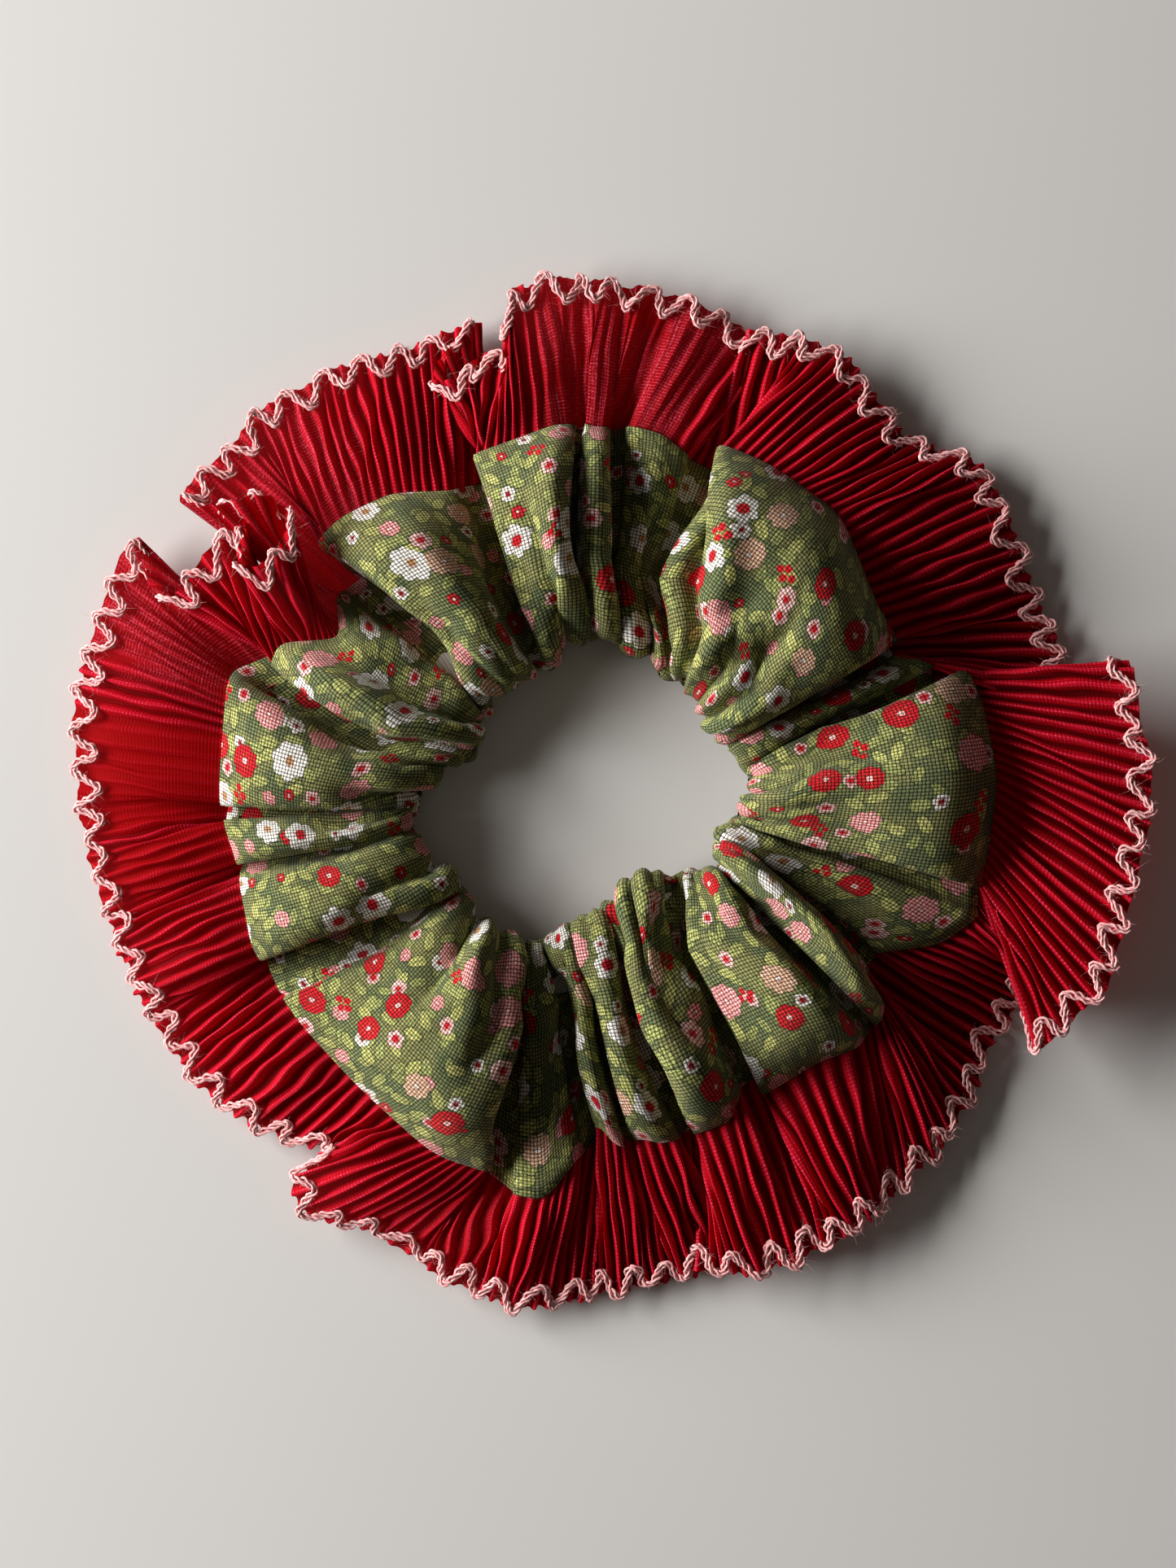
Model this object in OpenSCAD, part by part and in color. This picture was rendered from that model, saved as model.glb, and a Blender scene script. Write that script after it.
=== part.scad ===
// Scrunchie: a gathered cloth tube round a flat elastic ring, with a pleated
// chiffon ruffle sewn into the tube's outer seam and a zigzag yarn on its hem.
// It lies flat. The origin is the centre of the hair opening at the level of
// the surface that the scrunchie rests on, and +Z points up.
// Every long piece runs right round the ring. Each is drawn as a left half and
// a right half that meet at the plane x = 0, so that the ring can be stretched.

/* [Opening] */
// Diameter of the hair opening at rest
opening_d = 39; // [34:0.5:44]
// Height of the tight gathers round the opening
gather_h = 10.5; // [10:0.5:13]

/* [Casing] */
// Width of an average lobe of the flattened cloth tube
casing_w = 30; // [28:0.5:34]
// Height of the tallest lobe
casing_h = 19; // [16:0.5:24]
// Thickness of the cloth where it is gathered
wall = 1; // [0.8:0.1:1.2]
// Angle of the crease between two lobes
crease = 3; // [2:0.5:4]

/* [Ruffle] */
// Mean radius of the hem
hem_r = 69; // [66:0.5:76]
// Height of the middle of the hem above the resting surface
hem_z = 2; // [1.8:0.1:4]
// Pleats in each half of the ruffle
pleats = 80; // [40:2:120]
// Thickness of the pleated chiffon
chiffon_t = 0.5; // [0.4:0.1:0.6]
// Half height of a pleat at the hem
pleat_rise = 1.1; // [0.6:0.1:1.2]

/* [Edging] */
// Diameter of the edging yarn
yarn_d = 1; // [0.8:0.1:1.2]
// Zigzags in each half of the hem
zigzags = 44; // [30:1:60]
// Depth of a zigzag across the hem
zigzag_depth = 2.6; // [2:0.1:3]

/* [Elastic] */
// Width of the flat elastic
elastic_w = 6; // [5:0.5:6]
// Thickness of the flat elastic
elastic_t = 1; // [0.8:0.1:1.2]
// Length of the sewn overlap of the elastic's ends
elastic_lap = 10; // [8:1:14]

/* [Stitches] */
// Diameter of the sewing thread
thread_d = 0.4; // [0.3:0.05:0.5]
// Length of one stitch
stitch = 2.4; // [2:0.1:3]
// Distance from the start of one stitch to the next
stitch_pitch = 3.6; // [3:0.1:5]

/* [Hidden] */
$fn = 96;

green = [0.36, 0.45, 0.27];
crimson = [0.66, 0.03, 0.07];
pink = [0.93, 0.55, 0.55];
ecru = [0.90, 0.88, 0.80];
seam_thread = [0.42, 0.52, 0.34];

// The halves: where each starts, and the gap left between them at x = 0
LEFT = 90;
RIGHT = -90;
HALF = 180;
gap = 0.3;
slack = 0.3;
tiny = 0.05;

opening_r = opening_d / 2;
gather_r = opening_r + casing_w * 0.72;
lobe_r = opening_r + 1.5;

// Lobes of the casing, counter-clockwise from -90 degrees:
// [angle where the lobe ends, reach as a share of casing_w, height as a share of casing_h]
LOBES = [
    [-77, 0.82, 0.58], [-64, 0.92, 0.72], [-35, 1.00, 0.85], [-26, 0.78, 0.60],
    [16, 1.14, 0.80], [24, 0.88, 0.62], [72, 1.05, 1.00], [90, 0.82, 0.60],
    [107, 0.90, 0.75], [133, 0.95, 0.80], [157, 0.78, 0.62], [184, 1.02, 0.66],
    [202, 0.96, 0.62], [262, 1.09, 0.82], [270, 0.82, 0.58]
];

// Bulge of the hem beyond hem_r, by angle
HEM = [
    [-90, -1], [-60, 0], [-35, -1], [-14, 5], [8, 8], [17, 0], [40, 1], [50, -3], [66, 1],
    [90, 2], [103, -3], [130, 0], [160, 2], [180, 1], [205, -2], [230, -5], [250, -2], [270, -1]
];

// Heights in the seam slot, where the ruffle's header is held
header_z = 6.5;
header_r = opening_r + casing_w * 0.62;
slot_h = 2.4;
seam_r = opening_r + casing_w * 1.17;
header_rise = 0.15;
seam_rise = 0.55;

elastic_r = opening_r + 4.5;
elastic_z = 1.95;
lap_angle = elastic_lap / elastic_r * 180 / PI;
tack_bars = 5;
closing_angle = 216;
join_angle = 142;

// Section of a flattened tube: a rounded top and sides on a flat bottom
flat_from = -60;
function tube_section(r0, r1, z0, z1) =
    let (
        rc = (r0 + r1) / 2,
        half_w = (r1 - r0) / 2,
        half_h = (z1 - z0) / (1 - sin(flat_from)),
        zc = z1 - half_h
    )
    [for (a = [flat_from : 15 : 180 - flat_from]) [rc + half_w * cos(a), zc + half_h * sin(a)]];

function lobe_start(i) = i == 0 ? RIGHT : LOBES[i - 1][0];
function lobe_reach(i) = opening_r + casing_w * LOBES[i][1];
function lobe_height(i) = casing_h * LOBES[i][2];
function hem_at(a) = hem_r + lookup(a, HEM);

// Height of the ruffle's middle surface and of its pleats, by how far out it is
function run_out(r, a) = max(0, (r - seam_r) / (hem_at(a) - seam_r));
function ruffle_mid(r, a) = header_z + (hem_z - header_z) * run_out(r, a);
function ruffle_top(r, a) =
    ruffle_mid(r, a) + chiffon_t / 2 + seam_rise + (pleat_rise - seam_rise) * run_out(r, a);

module in_half(side) {
    translate([side * gap / 2, 0, 0])
        children();
}

module sector(start, width) {
    rotate([0, 0, start])
        rotate_extrude(angle = width)
            children();
}

// One closed solid through sections that stand in radial planes at the given angles
module around(angles, sections) {
    n = len(sections[0]);
    last = len(angles) - 1;
    points = [for (k = [0 : last]) for (p = sections[k])
        [p[0] * cos(angles[k]), p[0] * sin(angles[k]), p[1]]];
    sides = [for (k = [0 : last - 1]) for (j = [0 : n - 1])
        [k * n + j, (k + 1) * n + j, (k + 1) * n + (j + 1) % n, k * n + (j + 1) % n]];
    first_cap = [for (j = [0 : n - 1]) j];
    last_cap = [for (j = [n - 1 : -1 : 0]) last * n + j];
    polyhedron(points, concat([first_cap], sides, [last_cap]), convexity = 10);
}

// A run of straight stitches laid along a circle
module stitch_run(start, width, r, z) {
    count = floor(width * PI / 180 * r / stitch_pitch);
    for (i = [0 : count - 1])
        rotate([0, 0, start + (i + 0.5) * width / count])
            translate([r, stitch / 2, z])
                rotate([90, 0, 0])
                    cylinder(h = stitch, d = thread_d, $fn = 16);
}

// The cloth tube, hollow for the elastic and slotted round its rim for the ruffle
module casing(side, start) {
    mine = [for (i = [0 : len(LOBES) - 1]) if (lobe_start(i) >= start && LOBES[i][0] <= start + HALF) i];
    color(green)
        in_half(side)
            difference() {
                union() {
                    sector(start, HALF)
                        polygon(tube_section(opening_r, gather_r, 0, gather_h));
                    for (i = mine)
                        sector(lobe_start(i) + crease / 2, LOBES[i][0] - lobe_start(i) - crease)
                            polygon(tube_section(lobe_r, lobe_reach(i), 0, lobe_height(i)));
                }
                sector(start - 1, HALF + 2)
                    polygon(tube_section(opening_r + wall, gather_r - wall, wall, gather_h - wall));
                for (i = mine)
                    sector(lobe_start(i) + crease, LOBES[i][0] - lobe_start(i) - 2 * crease)
                        polygon(tube_section(lobe_r + wall, lobe_reach(i) - wall, wall, lobe_height(i) - wall));
                sector(start - 1, HALF + 2)
                    translate([header_r - slack, header_z - slot_h / 2])
                        square([casing_w, slot_h]);
            }
}

// Pleated chiffon: a flat header inside the slot that fans out to the hem
module ruffle(side, start) {
    steps = 2 * pleats;
    angles = [for (k = [0 : steps]) start + HALF * k / steps];
    sections = [for (k = [0 : steps])
        let (
            a = angles[k],
            up = k % 2 == 0 ? 1 : -1,
            half_t = chiffon_t / 2,
            z0 = header_z + up * header_rise,
            z1 = header_z + up * seam_rise,
            z2 = hem_z + up * pleat_rise
        )
        [
            [header_r, z0 - half_t], [seam_r, z1 - half_t], [hem_at(a), z2 - half_t],
            [hem_at(a), z2 + half_t], [seam_r, z1 + half_t], [header_r, z0 + half_t]
        ]
    ];
    color(crimson)
        in_half(side)
            around(angles, sections);
}

// Yarn that zigzags along the hem, on top of the pleats
module edging(side, start) {
    steps = 2 * zigzags;
    angles = [for (k = [0 : steps]) start + HALF * k / steps];
    sections = [for (k = [0 : steps])
        let (
            a = angles[k],
            r = hem_at(a) - yarn_d - (k % 2 == 0 ? 0 : zigzag_depth),
            z = ruffle_top(r, a) + yarn_d / 2 + tiny
        )
        [for (t = [0 : 60 : 300]) [r + yarn_d * 0.7 * cos(t), z + yarn_d / 2 * sin(t)]]
    ];
    color(pink)
        in_half(side)
            around(angles, sections);
}

// Flat elastic standing on edge, with its two ends lapped on the left
module elastic(side, start) {
    lapped = start == LEFT;
    plain = (HALF - lap_angle) / 2;
    color(ecru)
        in_half(side)
            difference() {
                sector(start, HALF)
                    translate([elastic_r, elastic_z])
                        square([lapped ? 2 * elastic_t : elastic_t, elastic_w]);
                if (lapped)
                    for (from = [start - 1, start + HALF - plain])
                        sector(from, plain + 1)
                            translate([elastic_r + elastic_t, elastic_z - 1])
                                square([2 * elastic_t, elastic_w + 2]);
            }
}

// Zigzag bar tack that holds the lapped ends of the elastic
module elastic_join_stitches() {
    color(seam_thread)
        in_half(-1)
            for (i = [0 : tack_bars - 1])
                rotate([0, 0, HALF + (i - (tack_bars - 1) / 2) * lap_angle / (tack_bars + 1)])
                    translate([elastic_r + 2 * elastic_t, -thread_d / 2, elastic_z + 1])
                        cube([thread_d, thread_d, elastic_w - 2]);
}

// Row that closes the casing's long edges on the ruffle's header
module rim_stitches(side, start) {
    color(seam_thread)
        in_half(side)
            stitch_run(start, HALF, header_r + 4, header_z + slot_h / 2 - thread_d / 2 - tiny);
}

// Row that holds the pleats of the ruffle's header together
module header_stitches(side, start) {
    color(crimson)
        in_half(side)
            stitch_run(start, HALF, header_r + 1.5, header_z + slot_h / 2 - thread_d / 2 - tiny);
}

// Seam across the tube where the casing's two ends meet
module closing_seam_stitches() {
    path = tube_section(lobe_r + wall + slack, lobe_reach(13) - wall - slack, wall + slack,
        lobe_height(13) - wall - slack);
    color(seam_thread)
        in_half(-1)
            rotate([0, 0, closing_angle])
                for (i = [5 : 2 : 15])
                    let (across = path[i + 1] - path[i])
                        translate([path[i][0], 0, path[i][1]])
                            rotate([0, atan2(across[0], across[1]), 0])
                                cylinder(h = min(norm(across), stitch), d = thread_d, $fn = 16);
}

// Short row that joins the two ends of the ruffle
module ruffle_join_stitches() {
    rows = 4;
    step = (hem_at(join_angle) - seam_r - 2 * zigzag_depth) / rows;
    color(crimson)
        in_half(-1)
            rotate([0, 0, join_angle])
                for (i = [0 : rows - 1])
                    let (r = seam_r + (i + 0.5) * step)
                        translate([r, 0, ruffle_top(r + stitch, join_angle) + pleat_rise * 0.5 + thread_d])
                            rotate([0, 90, 0])
                                cylinder(h = stitch, d = thread_d, $fn = 16);
}

casing(-1, LEFT);  // casing_left
casing(1, RIGHT);  // casing_right
ruffle(-1, LEFT);  // ruffle_left
ruffle(1, RIGHT);  // ruffle_right
edging(-1, LEFT);  // edging_left
edging(1, RIGHT);  // edging_right
elastic(-1, LEFT);  // elastic_left
elastic(1, RIGHT);  // elastic_right
rim_stitches(-1, LEFT);  // rim_stitches_left
rim_stitches(1, RIGHT);  // rim_stitches_right
header_stitches(-1, LEFT);  // header_stitches_left
header_stitches(1, RIGHT);  // header_stitches_right
closing_seam_stitches();
elastic_join_stitches();
ruffle_join_stitches();
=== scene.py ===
# %% [markdown]
# # A ruffled scrunchie
# This lesson dresses a plain CAD ring as a real scrunchie: a gathered tube of printed cotton over a
# flat elastic, with a pleated chiffon ruffle in its outer seam and a zigzag of yarn on the hem.
# The CAD ring is loaded first, because every place and size below comes from it.

# %% Load the CAD frame
import math

import bpy
import numpy as np
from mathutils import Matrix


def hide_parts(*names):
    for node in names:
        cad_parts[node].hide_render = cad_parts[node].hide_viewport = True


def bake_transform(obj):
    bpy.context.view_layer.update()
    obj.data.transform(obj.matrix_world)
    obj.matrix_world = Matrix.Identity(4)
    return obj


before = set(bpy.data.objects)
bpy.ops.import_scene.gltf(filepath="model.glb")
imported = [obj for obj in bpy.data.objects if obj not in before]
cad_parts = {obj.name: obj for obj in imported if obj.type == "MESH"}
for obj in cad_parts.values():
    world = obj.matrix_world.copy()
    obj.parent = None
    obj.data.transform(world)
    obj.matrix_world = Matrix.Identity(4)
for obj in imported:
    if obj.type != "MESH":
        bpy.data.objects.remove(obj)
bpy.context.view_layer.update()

MM = 0.001

# %% [markdown]
# ## The view
# The scrunchie is looked at from straight above, so the camera hangs over the ring and its picture
# plane is level. It is made first.

# %% Camera
VIEW_CENTRE = (-0.0003, 0.0024)
VIEW_TALL = 0.212
CAMERA_HEIGHT = 0.46
MIDDLE_HEIGHT = 0.006
SENSOR = 36

camera_data = bpy.data.cameras.new("camera")
camera_data.sensor_width = SENSOR
camera_data.lens = SENSOR * (CAMERA_HEIGHT - MIDDLE_HEIGHT) / VIEW_TALL
camera_data.clip_start = 0.01
camera = bpy.data.objects.new("camera", camera_data)
camera.location = (*VIEW_CENTRE, CAMERA_HEIGHT)
bpy.context.collection.objects.link(camera)
bpy.context.scene.camera = camera

# %% [markdown]
# ## How gathered cloth is described here
# A gathered tube is a row of soft lobes with creases between them. At a crease one lobe laps over
# the next, so the cloth runs out, back underneath and out again. The shape is set by two short
# tables, one line for each crease and one for each lobe, as a sewer would point them out.
# Another way is to simulate the gathering, but then the folds fall where they like.

# %% Creases and lobes
# angle at the opening, angle part way out, angle at the seam (degrees, counter-clockwise from +X),
# +1 when the next lobe lies on top and -1 when the last one does, lap in mm, height of the floor
CREASES = [
    (-107, -96, -89, 1, 2.5, 0.20), (-97, -88, -83, 1, 2.5, 0.30), (-82, -79, -73, 1, 3.5, 0.25),
    (-38, -56, -60, 1, 4.5, 0.25), (-27, -33, -38, 1, 1.0, 0.35), (-18, -23, -31, -1, 3.5, 0.35),
    (-8, -11, -13, 1, 4.0, 0.55), (11, 17, 20, -1, 3.5, 0.20), (25, 25, 27, 1, 3.5, 0.20),
    (57, 72, 71, -1, 5.5, 0.20), (80, 86, 87, 1, 2.5, 0.20), (93, 95, 92, 1, 2.0, 0.50),
    (106, 108, 109, -1, 4.0, 0.30), (138, 133, 137, -1, 3.0, 0.15), (156, 164, 157, -1, 3.0, 0.25),
    (179, 181, 181, -1, 3.0, 0.40), (188, 189, 190, -1, 1.2, 0.40), (212, 208, 206, -1, 2.5, 0.25),
    (243, 252, 256, -1, 4.5, 0.15),
]
# height in mm near its start, middle and end; reach of the seam in mm at the same places; gathers
LOBES = [
    (10, 10, 6, 44, 46, 47, 1), (11, 11, 6, 46, 47, 47, 1), (13, 13, 7, 47, 47, 44, 4),
    (11, 15, 16, 46, 46.5, 49, 1), (15, 16.5, 16, 49, 48, 44, 1), (5, 8, 6, 44, 51, 54.5, 1),
    (14, 15, 13, 54, 55, 54.5, 3), (5, 9, 5, 50, 48, 46, 1), (17, 17, 16.5, 47, 51.5, 51.5, 3),
    (6, 8, 4, 48.5, 50.5, 51, 2), (12, 12, 8, 50.5, 50.5, 51, 1), (15, 14, 11.5, 51, 50, 49.5, 2),
    (8, 14, 14, 46, 49.5, 51, 3), (4.5, 11, 13, 44, 40, 47, 3), (10, 12, 12, 51.5, 50.4, 50, 3),
    (7, 10, 11, 49.5, 49, 48.5, 1), (9, 12, 13, 48.5, 48.8, 49.5, 2), (7, 14, 16, 49.3, 49.5, 52, 2),
    (5, 6, 6, 54, 54, 48, 1),
]
# the edge of the hair opening: angle, distance from the middle in mm
OPENING = [
    (-100, 17), (-85, 15.5), (-68, 11.8), (-50, 12.2), (-38, 16.5), (-28, 20), (-16, 18), (-4, 20.5),
    (10, 22.5), (22, 20.5), (32, 19), (52, 21), (66, 20.5), (80, 22), (90, 23.5), (100, 20.5),
    (120, 18.5), (135, 20), (152, 16.8), (163, 18.5), (178, 24), (192, 25), (202, 21.5), (215, 21.5),
    (235, 22), (250, 21), (260, 17),
]
INNER_EDGE_Z = 5.0
SEAM_Z = 5.5
RIM_HALF = 0.45
ELASTIC_ROOM = 8.4
TABLE_GAP = 0.35
CREST_AT = 0.60
CREST_SWAY = 0.12
LEAST_DEEP = 1.7


def around(pairs, angles):
    """Read a list of (angle, value) at any angles, all the way round."""
    table = sorted((a % 360, v) for a, v in pairs)
    return np.interp(angles % 360, [a for a, _ in table], [v for _, v in table], period=360)


def ease(x):
    """0 to 1 with a soft start and a soft end."""
    x = np.clip(x, 0, 1)
    return x * x * (3 - 2 * x)


def unit(vectors):
    """The same directions, each one long."""
    return vectors / np.maximum(np.linalg.norm(vectors, axis=-1, keepdims=True), 1e-9)


def soften(line, times):
    """Average each point of a closed line with its two neighbours."""
    for _ in range(times):
        line = 0.5 * line + 0.25 * (np.roll(line, 1, 0) + np.roll(line, -1, 0))
    return line


def running(steps):
    """0, then the running total of the steps."""
    return np.concatenate([[0], np.cumsum(steps)])


def read_line(at, marks, line):
    """Points of a line whose own points stand at the given marks."""
    return np.stack([np.interp(at, marks, line[:, i]) for i in range(3)], 1)


# %% [markdown]
# ## Rows round the ring
# Each row of the tube is one closed line round the ring. It passes through a few points for each
# lobe and each crease. The points are joined, softened, and then cut into equal steps of cloth
# between one crease and the next, so the print is not stretched where the cloth doubles back.

# %% Rows of the casing
STEPS_PER_LINK = 14
SOFTENING = 13
LOBE_SHARES = (0.2, 0.5, 0.8)
CREASE_SIDE = 1.3
FIRMNESS = 0.50


def top_height(crest, out, angle=90.0):
    """Height of the upper cloth at a share of the way out, for a lobe of the given crest."""
    crest_at = CREST_AT + CREST_SWAY * math.cos(math.radians(angle))
    over_elastic = max(crest, ELASTIC_ROOM)
    crest = crest + (over_elastic - crest) * (1 - ease((out - 0.14) / 0.32))
    rise = np.sqrt(np.clip(1 - (1 - out / crest_at) ** 2, 0, 1))
    steady = 1 - np.clip(1 - out / crest_at, 0, 1) ** 1.6
    steady_share = (0.4 + 0.4 * math.cos(math.radians(angle))) * ease((out - 0.18) / 0.3)
    rise = rise + (steady - rise) * steady_share
    up = INNER_EDGE_Z + (crest - INNER_EDGE_Z) * rise
    fall = np.clip((out - crest_at) / (1 - crest_at), 0, 1) ** 2.8
    return np.where(out < crest_at, up, crest + (SEAM_Z + RIM_HALF - crest) * fall)


def under_height(out):
    """Height of the lower cloth, which lies on the table."""
    dip = 1 - np.sqrt(np.clip(1 - (1 - out / CREST_AT) ** 2, 0, 1))
    low = TABLE_GAP + (INNER_EDGE_Z - TABLE_GAP) * dip
    rise = np.clip((out - CREST_AT) / (1 - CREST_AT), 0, 1) ** 2.6
    return np.where(out < CREST_AT, low, TABLE_GAP + (SEAM_Z - RIM_HALF - TABLE_GAP) * rise)


def crease_angle(k, out):
    inner, middle, outer = CREASES[k % len(CREASES)][:3]
    turn = 360 * (k // len(CREASES))
    return turn + float(np.interp(out, [0, 0.35, 1], [inner, middle, outer]))


def row_points(out, lower):
    """Points of one row as (angle, reach of the seam, height), and where each crease is."""
    points = []
    bends = []
    count = len(CREASES)
    for k in range(count):
        over, lap, floor = CREASES[k][3:]
        here = crease_angle(k, out)
        following = crease_angle(k + 1, out)
        last = LOBES[k - 1]
        lobe = LOBES[k]
        reach = 14 + 34 * out
        lap_here = lap * (0.35 + 0.65 * out) * (1 - 0.9 * lower * ease((1 - out) / 0.3))
        bend = math.degrees(lap_here / reach)
        side = math.degrees(CREASE_SIDE / reach)
        firm = max(floor, floor + (FIRMNESS - floor) * (1 - ease((out - 0.12) / 0.22)))
        low = np.maximum(firm * top_height(min(last[2], lobe[0]), out, here), LEAST_DEEP)
        edge_of = lobe[0] if over > 0 else last[2]
        edge = 0.80 * top_height(edge_of, out, here)
        seam_reach = (last[5], lobe[3]) if over > 0 else (lobe[3], last[5])
        inside = min(seam_reach) - 0.8
        trio = [
            (here - over * (side + 0.3 * bend), seam_reach[0], low * 1.1 + 0.6),
            (here + over * bend, inside, low),
            (here - over * 0.1 * side, seam_reach[1], edge),
        ]
        if over < 0:
            trio.reverse()
        bends.append(len(points) + 1)
        points += trio
        for share, crest, seam in zip(LOBE_SHARES, lobe[:3], lobe[3:6]):
            angle = here + (following - here) * share
            points.append((angle, seam, top_height(crest, out, angle)))
    if lower:
        flat = under_height(out)
        points = [
            (a, r, min(flat + 0.22 * max(0.0, top_height(12, out) - z), max(z - 0.8, TABLE_GAP)))
            for a, r, z in points
        ]
    return np.array(points, float), bends


def row_line(out, lower):
    """The softened line of one row in mm, and the steps at which its creases turn."""
    points, bends = row_points(out, lower)
    inner = around(OPENING, points[:, 0])
    reach = inner + (points[:, 1] - inner) * out
    turn = np.radians(points[:, 0])
    xyz = np.stack([reach * np.cos(turn), reach * np.sin(turn), points[:, 2]], 1)
    share = np.arange(STEPS_PER_LINK)[:, None] / STEPS_PER_LINK
    line = np.concatenate([a + (b - a) * share for a, b in zip(xyz, np.roll(xyz, -1, 0))])
    return soften(line, SOFTENING), [b * STEPS_PER_LINK for b in bends]


def lengths(line):
    return np.linalg.norm(np.diff(line, axis=0), axis=1)


def cell_lines(line, bends):
    """Cut a closed line at its creases, each piece ending where the next begins."""
    closed = np.concatenate([line, line, line[:1]])
    ends = bends[1:] + [bends[0] + len(line)]
    return [closed[a : b + 1] for a, b in zip(bends, ends)]


def resample(line, count):
    """count equal steps along a line, without its last point."""
    along = running(lengths(line))
    at = np.linspace(0, along[-1], count + 1)[:-1]
    return read_line(at, along, line)


# %% The tube as a grid
COLUMNS = 800
TOP_ROWS = 30
UNDER_ROWS = 24
top_out = (np.arange(TOP_ROWS + 1) / TOP_ROWS) ** 1.35
under_out = (1 - np.arange(UNDER_ROWS) / UNDER_ROWS) ** 1.25
rows = [(o, 0) for o in top_out] + [(o, 1) for o in under_out]

row_cells = [cell_lines(*row_line(out, lower)) for out, lower in rows]
outer_rows = [i for i, (o, lower) in enumerate(rows) if not lower and 0.45 < o < 0.95]
cell_cloth = np.array([
    np.mean([lengths(row_cells[i][k]).sum() for i in outer_rows]) for k in range(len(LOBES))
])
strip_length = cell_cloth.sum()
cell_steps = np.maximum(6, np.round(COLUMNS * cell_cloth / strip_length)).astype(int)
tube = np.array([
    np.concatenate([resample(c, n) for c, n in zip(cells, cell_steps)]) for cells in row_cells
])
cell_start = running(cell_steps)
column_cell = np.repeat(np.arange(len(LOBES)), cell_steps)
column_share = np.concatenate([np.arange(n) / n for n in cell_steps])
cloth_step = np.repeat(cell_cloth / cell_steps, cell_steps)
print("casing strip length in mm:", round(float(strip_length), 1), "columns:", tube.shape[1])

# %% [markdown]
# ## Gathers and small creases
# Tight gathers crowd the elastic and fade towards the seam. They are pushed in along the cloth's own
# normals, so they run over the inner edge from top to bottom. Broad soft dents are added with noise.

# %% Gathers
GATHER_DEPTH = 1.15
GATHERS_EACH = 1.25
SEAM_SHARE = 0.17
CLOSING_CELL = 17


def grid_normals(grid, closed_rows=True):
    """Unit normals of a grid of points that is closed along its columns."""
    along = np.roll(grid, -1, 1) - np.roll(grid, 1, 1)
    if closed_rows:
        across = np.roll(grid, -1, 0) - np.roll(grid, 1, 0)
    else:
        across = np.gradient(grid, axis=0)
    return unit(np.cross(along, across))


def waves(x, seed, count=7, longest=1.0):
    """Smooth noise along a line, from a few sines."""
    rng = np.random.default_rng(seed)
    total = np.zeros_like(x)
    for i in range(count):
        total += np.sin(x * (i + 1) / longest * rng.uniform(0.7, 1.3) + rng.uniform(0, 6.28)) / (i + 1)
    return total / 2


gather_count = np.array([round(GATHERS_EACH * lobe[6]) for lobe in LOBES])
gathers_before = running(gather_count)
column_turn = 2 * math.pi * (np.arange(tube.shape[1]) / tube.shape[1])
gather_phase = gathers_before[column_cell] + gather_count[column_cell] * column_share
gather_phase = gather_phase + 0.30 * waves(column_turn * 23, 3) * np.sin(math.pi * column_share)
gather_wave = 2 * np.abs(np.cos(math.pi * (gather_phase + 0.5))) ** 0.8 - 1
row_out = np.array([o for o, _ in rows])
row_lower = np.array([lower for _, lower in rows])
gather_reach = 0.50 + 0.30 * waves(column_turn * 17, 14)
fade = 1 - ease(row_out[:, None] / np.clip(gather_reach, 0.2, 0.95)[None, :])
row_depth = GATHER_DEPTH * fade * np.where(row_lower, 0.6, 1.0)[:, None]

normals = grid_normals(tube)
if normals[TOP_ROWS // 2, :, 2].mean() < 0:
    normals = -normals
spread = 0.75 + 0.35 * waves(column_turn * 9, 4)
tube = tube + normals * (row_depth * (gather_wave * spread)[None, :])[:, :, None]

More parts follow.
